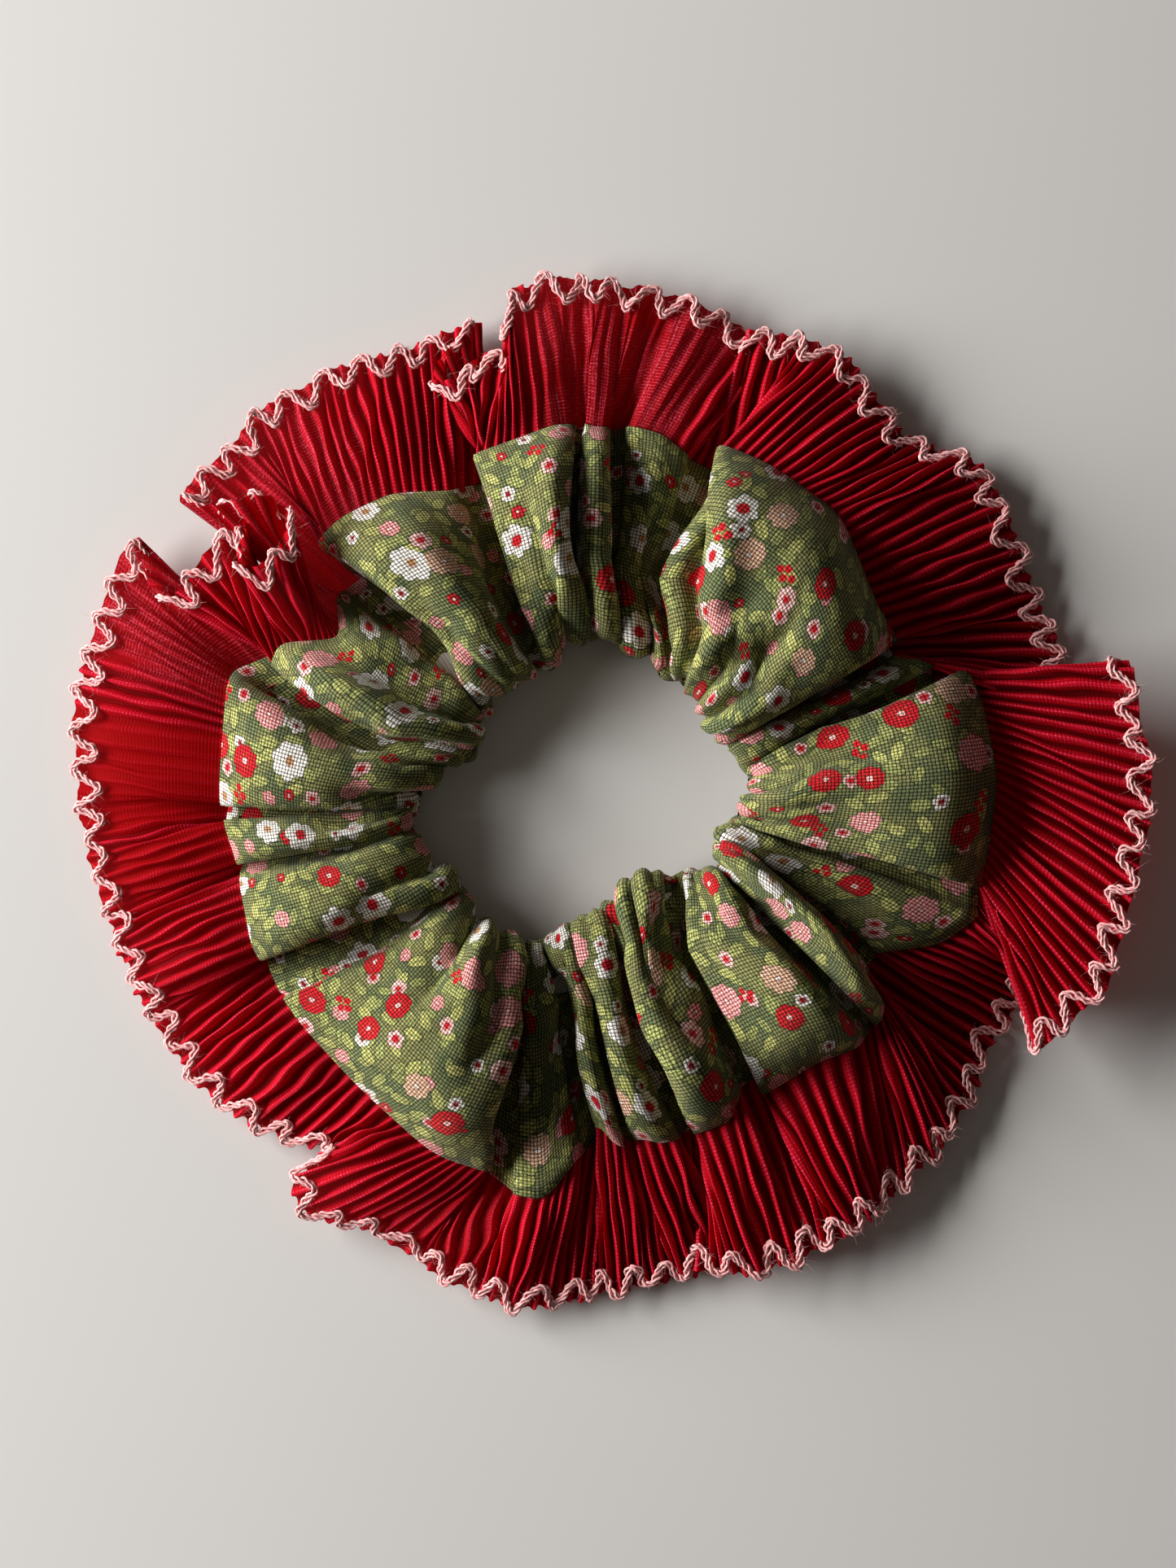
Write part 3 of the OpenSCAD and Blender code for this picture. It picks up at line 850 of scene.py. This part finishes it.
def run_of_stitches(line):
    """Start and end of each stitch of a running row along a line."""
    along = running(lengths(line))
    count = int(along[-1] / STITCH_PITCH)
    pairs = []
    for i in range(count):
        ends = (np.array([0, STITCH]) + i * STITCH_PITCH) / (count * STITCH_PITCH) * along[-1]
        pairs.append([[np.interp(e, along, line[:, j]) for j in range(3)] for e in ends])
    return pairs


header_line = ruffle[0] * 0.6 + ruffle[1] * 0.4 + [0, 0, 0.22]
rim_line = ruffle[1] * 0.9 + ruffle[2] * 0.1 + [0, 0, 0.22]
header_stitches = stitches("header_stitches", run_of_stitches(header_line))
rim_stitches = stitches("rim_stitches", run_of_stitches(rim_line))
closing_line = (tube - normals * 0.8)[4 : TOP_ROWS - 3, closing_column]
closing_stitches = stitches("closing_seam_stitches_sewn", run_of_stitches(closing_line))
JOIN_PLACE = 13.3
join_out = np.linspace(0.06, 0.84, 40)
join_line, _ = surface_at(np.full(40, JOIN_PLACE), join_out, 0.45)
join_stitches = stitches("ruffle_join_sewn", run_of_stitches(join_line))

TACK_ROWS = 7
TACK_STEP = 2.4
TACK_REACH = 1.9
tack_pairs = []
for i in range(TACK_ROWS):
    angle = 180 + TACK_STEP * (i - 3)
    low = TACK_REACH if i % 2 else -TACK_REACH
    tack_pairs.append([on_elastic(angle, low, 0.5), on_elastic(angle + TACK_STEP, -low, 0.5)])
tack_stitches = stitches("elastic_tack_sewn", tack_pairs)

# %% [markdown]
# ## Finishes
# All the finishes are built from nodes. The cloths read their own flat coordinates in metres, so a
# flower or a thread keeps its size wherever the cloth goes. A small helper class keeps it short.

# %% Node helper
class Finish:
    """A material and short ways to add nodes to it."""

    def __init__(self, name):
        self.material = bpy.data.materials.new(name)
        self.material.use_nodes = True
        self.tree = self.material.node_tree
        self.tree.nodes.clear()
        self.output = self.tree.nodes.new("ShaderNodeOutputMaterial")

    def add(self, kind, inputs=None, **settings):
        node = self.tree.nodes.new("ShaderNode" + kind)
        for key, value in settings.items():
            setattr(node, key, value)
        for key, value in (inputs or {}).items():
            self.feed(node.inputs[key], value)
        return node

    def feed(self, socket, value):
        if isinstance(value, bpy.types.NodeSocket):
            self.tree.links.new(value, socket)
        else:
            if hasattr(value, "__len__") and len(value) == 3 and socket.type == "RGBA":
                value = (*value, 1)
            socket.default_value = value

    def math(self, operation, *values):
        return self.add("Math", dict(enumerate(values)), operation=operation).outputs[0]

    def plus(self, a, b):
        return self.math("ADD", a, b)

    def minus(self, a, b):
        return self.math("SUBTRACT", a, b)

    def times(self, a, b):
        return self.math("MULTIPLY", a, b)

    def over(self, a, b):
        return self.math("DIVIDE", a, b)

    def line(self, a, slope, start):
        return self.math("MULTIPLY_ADD", a, slope, start)

    def power(self, a, exponent):
        return self.math("POWER", a, exponent)

    def sine(self, a):
        return self.math("SINE", a)

    def size_of(self, a):
        return self.math("ABSOLUTE", a)

    def between(self, value, low, high):
        """0 below low and 1 above high, with a soft start and end."""
        node = self.add("MapRange", {"Value": value, "From Min": low, "From Max": high},
                        interpolation_type="SMOOTHSTEP")
        return node.outputs[0]

    def below(self, value, edge, soft):
        """1 where value is under edge. Either may be a socket."""
        return self.between(self.minus(edge, value), -soft, soft)

    def mix(self, share, a, b, blend="MIX", clamp=False):
        node = self.add("Mix", data_type="RGBA", blend_type=blend, clamp_result=clamp)
        for key, value in ((0, share), (6, a), (7, b)):
            self.feed(node.inputs[key], value)
        return node.outputs[2]

    def noise(self, vector, scale, detail=2.0, rough=0.5):
        settings = {"Vector": vector, "Scale": scale, "Detail": detail, "Roughness": rough}
        return self.add("TexNoise", settings).outputs[0]

    def cloth(self):
        return self.add("UVMap", uv_map="cloth").outputs[0]

    def parts(self, vector):
        return self.add("SeparateXYZ", {0: vector}).outputs

    def all_of(self, *values):
        result = values[0]
        for value in values[1:]:
            result = self.times(result, value)
        return result


class Spots:
    """Scattered middles on the cloth: distance and angle from the nearest, and its own chances."""

    def __init__(self, finish, cloth, pitch, shift, random):
        moved = finish.add("VectorMath", {0: cloth, 1: shift}, operation="ADD").outputs[0]
        cells = finish.add("TexVoronoi", {"Vector": moved, "Scale": 1 / (pitch * MM), "Randomness": random},
                           voronoi_dimensions="2D", feature="F1")
        local = finish.add("VectorMath", {0: moved, 1: cells.outputs["Position"]}, operation="SUBTRACT")
        away = finish.parts(local.outputs[0])
        self.finish = finish
        self.x = finish.times(away[0], 1000)
        self.y = finish.times(away[1], 1000)
        self.angle = finish.math("ARCTAN2", self.y, self.x)
        across = finish.times(self.x, self.x)
        self.distance = finish.math("SQRT", finish.line(self.y, self.y, across))
        chances = finish.add("SeparateColor", {0: cells.outputs["Color"]}).outputs
        self.kind, self.size, self.turn = chances[0], chances[1], chances[2]

    def chance(self, low, high):
        """1 for the spots whose kind lies between low and high."""
        f = self.finish
        return f.all_of(f.math("GREATER_THAN", self.kind, low), f.math("LESS_THAN", self.kind, high))

    def petals(self, count, depth, radius):
        """The edge of a flower in mm at each angle."""
        f = self.finish
        phase = f.times(self.turn, 6.28)
        wave = f.size_of(f.math("COSINE", f.line(self.angle, count / 2, phase)))
        wave = f.power(wave, 0.55)
        grown = f.line(self.size, 0.30, 0.85)
        edge = f.line(wave, depth * radius, (1 - depth) * radius)
        return f.times(edge, grown)


# %% Printed cotton
GROUND = (0.230, 0.228, 0.086)
GROUND_BLUE = (0.125, 0.150, 0.066)
OUTLINE = (0.050, 0.062, 0.022)
LEAF = (0.500, 0.490, 0.160)
LEAF_PALE = (0.320, 0.345, 0.115)
WHITE = (0.860, 0.820, 0.750)
RED = (0.600, 0.012, 0.020)
DARK_RED = (0.280, 0.006, 0.012)
PINK = (0.780, 0.260, 0.260)
PALE_PINK = (0.900, 0.560, 0.520)
PEACH = (0.640, 0.390, 0.240)
TAN = (0.470, 0.240, 0.090)
THREAD_PITCH = 0.46 * MM
# chance from and to, petals, how deep they are cut, radius in mm, colour, colour and radius of the
# middle, and the rings of dots
SMALL_FLOWERS = [
    (0.00, 0.20, 5, 0.25, 1.10, PALE_PINK, RED, 0.45, (PINK, 0.6)),
    (0.20, 0.32, 5, 0.20, 0.80, RED, PALE_PINK, 0.20, (DARK_RED, 0.5)),
    (0.32, 0.44, 5, 0.30, 1.10, WHITE, DARK_RED, 0.32, (PEACH, 0.3)),
    (0.44, 0.54, 6, 0.20, 1.15, PINK, PALE_PINK, 0.28, (PALE_PINK, 0.7)),
]
BIG_FLOWERS = [
    (0.00, 0.16, 7, 0.26, 2.30, WHITE, TAN, 0.50, (PEACH, 0.0)),
    (0.16, 0.36, 6, 0.32, 2.25, WHITE, RED, 0.75, (WHITE, 0.0)),
    (0.36, 0.57, 9, 0.12, 1.95, RED, PALE_PINK, 0.38, (DARK_RED, 0.55)),
    (0.57, 0.76, 8, 0.20, 2.15, PINK, PALE_PINK, 0.30, (PALE_PINK, 0.9)),
    (0.76, 0.84, 8, 0.22, 2.00, PEACH, WHITE, 0.30, (PALE_PINK, 0.7)),
    (0.84, 0.94, 7, 0.22, 1.55, PALE_PINK, RED, 0.45, (PINK, 0.7)),
]


def weave(f, cloth, pitch):
    """Height of a plain weave from 0 to 1, and which of its threads is on top."""
    axes = f.parts(cloth)
    s = [f.sine(f.times(axes[i], math.pi / pitch)) for i in (0, 1)]
    on_top = f.between(f.times(s[0], s[1]), -0.25, 0.25)
    round_way = [f.power(f.size_of(wave), 0.85) for wave in s]
    long_way = [f.power(f.size_of(wave), 0.22) for wave in s]
    warp = f.all_of(round_way[0], long_way[1], on_top)
    weft = f.all_of(long_way[0], round_way[1], f.minus(1.0, on_top))
    return f.plus(warp, weft), on_top


def leaves(f, colour, cloth, pitch, shift, long, wide, tone):
    spots = Spots(f, cloth, pitch, shift, 0.85)
    turn = f.times(spots.turn, 6.28)
    c, s = f.math("COSINE", turn), f.sine(turn)
    along = f.plus(f.times(spots.x, c), f.times(spots.y, s))
    across = f.minus(f.times(spots.y, c), f.times(spots.x, s))
    a, b = f.over(along, long), f.over(across, wide)
    a, b = f.power(f.size_of(a), 1.7), f.power(f.size_of(b), 2.0)
    shape = f.plus(a, b)
    present = f.math("LESS_THAN", spots.kind, 0.78)
    rim = f.all_of(f.below(shape, 1.30, 0.12), present)
    body = f.all_of(f.below(shape, 0.95, 0.15), present)
    vein = f.all_of(f.below(f.size_of(across), 0.06, 0.04), body)
    shade = f.mix(spots.size, tone, LEAF_PALE)
    sketched = f.between(f.noise(cloth, 1300.0, 1.0), 0.28, 0.50)
    colour = f.mix(f.times(rim, f.times(sketched, 0.8)), colour, OUTLINE)
    colour = f.mix(body, colour, shade)
    return f.mix(f.times(vein, f.times(sketched, 0.6)), colour, OUTLINE)


def flower(f, colour, spots, low, high, petals, depth, radius, body, inner, inner_radius, rings):
    """Print one kind of flower: its petals with an outline, rings of dots, spokes and a middle."""
    chosen = spots.chance(low, high)
    edge = spots.petals(petals, depth, radius)
    outline = f.all_of(f.below(spots.distance, f.plus(edge, 0.13), 0.07), chosen)
    shape = f.all_of(f.below(spots.distance, edge, 0.07), chosen)
    colour = f.mix(f.times(outline, 0.8), colour, OUTLINE)
    ring = f.sine(f.times(spots.distance, 7.5))
    beads = f.sine(f.times(spots.angle, petals * 2))
    dots = f.between(f.times(ring, beads), 0.10, 0.60)
    tone = f.mix(f.times(dots, rings[1]), body, rings[0])
    colour = f.mix(shape, colour, tone)
    phase = f.times(spots.turn, 6.28)
    spoke = f.size_of(f.sine(f.line(spots.angle, petals / 2, phase)))
    spoke = f.all_of(f.below(spoke, 0.16, 0.08), f.below(spots.distance, radius * 0.62, 0.1), shape)
    colour = f.mix(f.times(spoke, 0.55), colour, TAN)
    middle = f.all_of(f.below(spots.distance, inner_radius, 0.08), shape)
    halo = f.all_of(f.below(spots.distance, inner_radius + 0.18, 0.06), shape)
    colour = f.mix(f.times(halo, 0.5), colour, DARK_RED)
    return f.mix(middle, colour, inner)


def printed_cotton():
    f = Finish("printed_cotton")
    cloth = f.cloth()
    wobble = f.add("TexNoise", {"Vector": cloth, "Scale": 1100.0, "Detail": 1.5}).outputs[1]
    wobble = f.add("VectorMath", {0: wobble, 1: (0.5, 0.5, 0.5)}, operation="SUBTRACT").outputs[0]
    wobble = f.add("VectorMath", {0: wobble, "Scale": 0.62 * MM}, operation="SCALE").outputs[0]
    inked = f.add("VectorMath", {0: cloth, 1: wobble}, operation="ADD").outputs[0]
    colour = f.mix(f.between(f.noise(cloth, 160.0), 0.4, 0.6), GROUND, GROUND_BLUE)
    colour = leaves(f, colour, inked, 3.0, (0.011, 0.007, 0), 1.25, 0.62, LEAF_PALE)
    colour = leaves(f, colour, inked, 3.5, (0.003, 0.019, 0), 1.45, 0.75, LEAF)
    small = Spots(f, inked, 5.0, (0.031, 0.017, 0), 0.85)
    for kind in SMALL_FLOWERS:
        colour = flower(f, colour, small, *kind)
    berries = Spots(f, inked, 12.0, (0.047, 0.005, 0), 0.9)
    present = f.math("LESS_THAN", berries.kind, 0.6)
    for x, y in ((0.0, 0.0), (1.05, 0.55), (0.25, 1.25), (-0.9, 0.75)):
        dx, dy = f.minus(berries.x, x), f.minus(berries.y, y)
        away = f.math("SQRT", f.line(dy, dy, f.times(dx, dx)))
        colour = f.mix(f.all_of(f.below(away, 0.50, 0.08), present), colour, RED)
    big = Spots(f, inked, 7.9, (0.0, 0.0, 0), 0.72)
    for kind in BIG_FLOWERS:
        colour = flower(f, colour, big, *kind)
    height, on_top = weave(f, cloth, THREAD_PITCH)
    slubs = f.add("Mapping", {"Vector": cloth, "Scale": (120, 2600, 1)}).outputs[0]
    picks = f.add("Mapping", {"Vector": cloth, "Scale": (2600, 120, 1)}).outputs[0]
    thread = f.plus(f.noise(slubs, 1.0, 1.0), f.noise(picks, 1.0, 1.0))
    # Painted shade and highlight: the colour is darkened in the gaps between threads and lightened on the
    # raised thread tops. The slub noise is the threads' own uneven tone, and the threads lying on top are a
    # little lighter.
    weave_tone_and_shade = f.line(height, 1.60, -0.22)
    weave_tone_and_shade = f.times(weave_tone_and_shade, f.line(thread, 0.8, 0.2))
    weave_tone_and_shade = f.times(weave_tone_and_shade, f.line(on_top, 0.22, 0.89))
    weave_shade_colour = f.add("CombineColor", {0: weave_tone_and_shade, 1: weave_tone_and_shade, 2: weave_tone_and_shade}).outputs[0]
    colour = f.mix(1.0, colour, weave_shade_colour, "MULTIPLY", clamp=True)
    bump = f.add("Bump", {"Height": height, "Strength": 0.6, "Distance": 0.09 * MM}).outputs[0]
    skin = f.add("BsdfPrincipled", {
        "Base Color": colour, "Roughness": 0.9, "Specular IOR Level": 0.12, "Normal": bump,
        "Sheen Weight": 0.08, "Sheen Roughness": 0.5, "Sheen Tint": (0.9, 0.95, 0.8),
    })
    f.feed(f.output.inputs[0], skin.outputs[0])
    return f.material


# %% Chiffon, yarn, elastic and thread
CHIFFON_PITCH = 0.46 * MM
SPECK_PITCH = 0.50 * MM


def pleated_chiffon():
    f = Finish("pleated_chiffon")
    cloth = f.cloth()
    axes = f.parts(cloth)
    crest = f.add("Attribute", attribute_name="crest").outputs["Fac"]
    pressed_open = f.add("Attribute", attribute_name="pressed").outputs["Fac"]
    along = f.size_of(f.sine(f.times(axes[0], math.pi / CHIFFON_PITCH)))
    across = f.size_of(f.sine(f.times(axes[1], math.pi / CHIFFON_PITCH)))
    warp = f.between(along, 0.80, 0.98)
    weft = f.between(across, 0.78, 0.98)
    streak_map = f.add("Mapping", {"Vector": cloth, "Scale": (1300, 60, 1)}).outputs[0]
    streak = f.between(f.noise(streak_map, 1.0, 2.0), 0.40, 0.60)
    grain = f.between(f.noise(cloth, 2400.0, 1.0), 0.40, 0.66)
    patch = f.between(f.noise(cloth, 110.0, 2.0), 0.30, 0.50)
    # Painted glints: a broken grid of bright thread lines, as light shows through the sheer places.
    grid = f.math("MAXIMUM", f.times(warp, streak), f.times(weft, 0.75))
    light_through = f.add("Attribute", attribute_name="sheer").outputs["Fac"]
    glint = f.all_of(grid, light_through, patch, f.line(grain, 0.8, 0.2))
    folded = f.minus(1.0, pressed_open)
    # Fine dots of thread texture, used in the bump everywhere and painted as glints on the crests.
    row_turn = f.times(axes[0], 2 * math.pi / SPECK_PITCH)
    column_turn_at = f.times(axes[1], 2 * math.pi / SPECK_PITCH)
    specks = f.between(f.plus(f.sine(row_turn), f.sine(column_turn_at)), 0.3, 1.6)
    specks = f.times(specks, f.line(grain, 0.7, 0.3))
    # Mask along the pleat crests, for the painted highlight and glints there.
    crest_highlight = f.between(crest, 0.55, 0.90)
    crest_glint_strength = f.line(crest_highlight, 0.70, 0.30)
    # Painted glints: the thread dots show as bright pink points on the pleat crests.
    crest_glint_dots = f.all_of(specks, folded, crest_glint_strength, f.between(crest, 0.10, 0.40))
    # The pleat valleys are darker, partly for the cloth lying double there and partly as painted shade in
    # the folds.
    valley = f.between(crest, 0.02, 0.42)
    tone = f.mix(valley, (0.085, 0.0003, 0.0012), (0.54, 0.0012, 0.009))
    tone = f.mix(pressed_open, tone, (0.31, 0.0006, 0.0016))
    # Painted highlight: the pleat crests are lightened to a pinker red, except where the pleats are pressed
    # open.
    crest_highlight_share = f.times(crest_highlight, f.times(folded, 0.6))
    tone = f.mix(crest_highlight_share, tone, (0.78, 0.010, 0.035))
    # Bright pink painted glints on the pleat crests.
    colour = f.mix(crest_glint_dots, tone, (1.0, 0.11, 0.22))
    # Painted glints of light through the threads in the sheer places.
    colour = f.mix(f.times(glint, 0.8), colour, (0.95, 0.13, 0.22))
    height = f.plus(f.plus(along, across), specks)
    bump = f.add("Bump", {"Height": height, "Strength": 0.4, "Distance": 0.06 * MM}).outputs[0]
    face = f.add("BsdfPrincipled", {
        "Base Color": colour, "Roughness": 0.7, "Specular IOR Level": 0.04, "Normal": bump,
        "Sheen Weight": 0.06, "Sheen Roughness": 0.4, "Sheen Tint": (1.0, 0.06, 0.12),
    })
    glow = f.add("BsdfTranslucent", {"Color": (0.62, 0.0008, 0.003)})
    cloth_shader = f.add("MixShader", {0: 0.34, 1: face.outputs[0], 2: glow.outputs[0]})
    gaps = f.add("BsdfTransparent", {"Color": (1.0, 0.20, 0.26)})
    sheer = f.add("MixShader", {0: 0.02, 1: cloth_shader.outputs[0], 2: gaps.outputs[0]})
    f.feed(f.output.inputs[0], sheer.outputs[0])
    return f.material


def yarn_finish():
    f = Finish("edging_yarn")
    cloth = f.cloth()
    slant = {"Vector": cloth, "Rotation": (0, 0, 0.5), "Scale": (900, 2600, 1)}
    strand = f.noise(f.add("Mapping", slant).outputs[0], 1.0, 3.0, 0.6)
    # Along the raised strands the deep pink is lightened to near white: partly the yarn's own mottling,
    # partly painted highlight.
    colour = f.mix(f.between(strand, 0.35, 0.68), (0.76, 0.24, 0.26), (0.98, 0.70, 0.67))
    bump = f.add("Bump", {"Height": strand, "Strength": 0.5, "Distance": 0.08 * MM}).outputs[0]
    skin = f.add("BsdfPrincipled", {
        "Base Color": colour, "Roughness": 0.75, "Normal": bump, "Sheen Weight": 0.5,
        "Sheen Roughness": 0.4, "Sheen Tint": (1.0, 0.8, 0.8), "Specular IOR Level": 0.3,
    })
    f.feed(f.output.inputs[0], skin.outputs[0])
    return f.material


def thread_finish(name, dark, light, scale):
    f = Finish(name)
    place = f.add("TexCoord").outputs["Object"]
    wave = f.add("TexWave", {"Vector": place, "Scale": scale, "Distortion": 1.5, "Detail": 2.0},
                 bands_direction="DIAGONAL").outputs[1]
    colour = f.mix(wave, dark, light)
    bump = f.add("Bump", {"Height": wave, "Strength": 0.4, "Distance": 0.05 * MM}).outputs[0]
    skin = f.add("BsdfPrincipled", {
        "Base Color": colour, "Roughness": 0.6, "Normal": bump, "Sheen Weight": 0.3,
        "Specular IOR Level": 0.3,
    })
    f.feed(f.output.inputs[0], skin.outputs[0])
    return f.material


casing.data.materials.append(printed_cotton())
ruffle_piece.data.materials.append(pleated_chiffon())
edging.data.materials.append(yarn_finish())
woven = thread_finish("woven_elastic", (0.55, 0.53, 0.48), (0.85, 0.83, 0.78), 900)
elastic.data.materials.append(woven)
green_thread = thread_finish("green_thread", (0.10, 0.15, 0.06), (0.22, 0.30, 0.14), 2500)
red_thread = thread_finish("red_thread", (0.26, 0.004, 0.015), (0.50, 0.02, 0.05), 2500)
for piece in (rim_stitches, closing_stitches, tack_stitches):
    piece.data.materials.append(green_thread)
for piece in (header_stitches, join_stitches):
    piece.data.materials.append(red_thread)

# %% [markdown]
# ## How it moves
# The elastic stretches sideways, and the ring turns into a long oval. In the frame that is one slide
# between two halves, but each real piece is whole. Each piece says which plain CAD solids it stands
# for, and those solids are hidden.

# %% Hide the CAD solids each piece stands for
SLOTS = {
    casing: "floral_cotton", ruffle_piece: "pleated_chiffon", edging: "edging_yarn",
    elastic: "woven_elastic", rim_stitches: "green_thread", header_stitches: "red_thread",
    closing_stitches: "green_thread", tack_stitches: "green_thread", join_stitches: "red_thread",
}
STANDS_FOR = {
    casing: ("casing_left", "casing_right"), ruffle_piece: ("ruffle_left", "ruffle_right"),
    edging: ("edging_left", "edging_right"), elastic: ("elastic_left", "elastic_right"),
    rim_stitches: ("rim_stitches_left", "rim_stitches_right"),
    header_stitches: ("header_stitches_left", "header_stitches_right"),
    closing_stitches: ("closing_seam_stitches",), tack_stitches: ("elastic_join_stitches",),
    join_stitches: ("ruffle_join_stitches",),
}
for piece, slot in SLOTS.items():
    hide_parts(*STANDS_FOR[piece])
    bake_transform(piece)

# %% [markdown]
# ## Floor and light
# A pale floor and one large soft light low on the left, as from a window, with a dim warm sky.
# A small hard lamp would pick out every thread, but it would turn the folds black.

# %% Floor and light
def floor_finish():
    f = Finish("pale_floor")
    place = f.add("TexCoord").outputs["Object"]
    colour = f.mix(f.noise(place, 6.0, 3.0), (0.70, 0.69, 0.675), (0.76, 0.75, 0.735))
    skin = f.add("BsdfPrincipled", {"Base Color": colour, "Roughness": 0.55, "Specular IOR Level": 0.3})
    f.feed(f.output.inputs[0], skin.outputs[0])
    return f.material


deselect_all()
bpy.ops.mesh.primitive_plane_add(size=3.0, location=(0, 0, 0))
floor = active_piece("floor")
floor.data.materials.append(floor_finish())

key_data = bpy.data.lights.new("window", "AREA")
key_data.energy = 18.6
key_data.shape = "RECTANGLE"
key_data.size = 0.80
key_data.size_y = 0.36
key_data.color = (1.0, 0.982, 0.96)
key = bpy.data.objects.new("window", key_data)
key.location = (-0.80, 0.16, 0.31)
key.rotation_mode = "QUATERNION"
key.rotation_quaternion = (-key.location).to_track_quat("-Z", "Y")
bpy.context.collection.objects.link(key)

world = bpy.data.worlds.new("sky")
bpy.context.scene.world = world
world.use_nodes = True
sky = world.node_tree.nodes["Background"]
sky.inputs["Color"].default_value = (0.95, 0.86, 0.76, 1)
sky.inputs["Strength"].default_value = 0.065
bpy.context.scene.view_settings.view_transform = "Standard"
